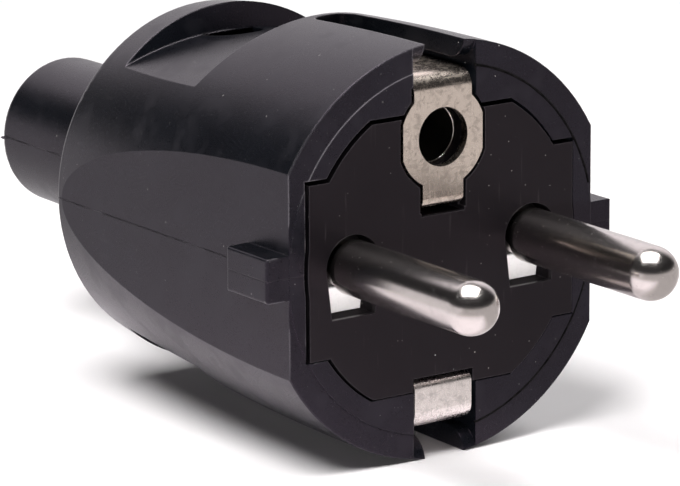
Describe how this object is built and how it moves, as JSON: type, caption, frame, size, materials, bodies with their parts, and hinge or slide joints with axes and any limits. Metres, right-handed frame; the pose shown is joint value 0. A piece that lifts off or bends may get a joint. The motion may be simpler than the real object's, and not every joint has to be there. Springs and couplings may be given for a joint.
{
  "type": "earthed mains plug",
  "caption": "Rubber mains plug with round pins, an earth hole in its face, side earth strips, finger scoops and a cord sleeve.",
  "frame": {"origin": "centre of the engagement face, halfway between the two pins", "axes": "-Y out of the engagement face along the pins, +Z towards the earth hole, +X to the right seen from the pins"},
  "size_m": [0.0368, 0.0798, 0.0368],
  "materials": {
    "rubber": "satin black rubber",
    "carrier_plastic": "matt black plastic",
    "pin_nickel": "polished nickel plating",
    "plate_nickel": "bright nickel plated sheet",
    "earth_nickel": "scratched nickel plated sheet",
    "terminal_brass": "machined brass",
    "screw_steel": "zinc plated steel"
  },
  "bodies": {
    "root": {"housing": "rubber", "contact_carrier": "carrier_plastic", "carrier_cover": "carrier_plastic", "pin_left": "pin_nickel", "pin_right": "pin_nickel", "pin_plate_left": "plate_nickel", "pin_plate_right": "plate_nickel", "terminal_left": "terminal_brass", "terminal_right": "terminal_brass", "earth_terminal": "terminal_brass", "terminal_screws": "screw_steel", "pressure_plates": "screw_steel", "earth_clip": "earth_nickel", "earth_contact": "earth_nickel", "earth_bridge": "earth_nickel", "earth_sleeve": "earth_nickel", "sleeve_spring": "screw_steel", "clamp_bar": "carrier_plastic", "clamp_screws": "screw_steel", "clamp_nuts": "screw_steel", "cover_screws": "screw_steel"}
  },
  "joints": []
}
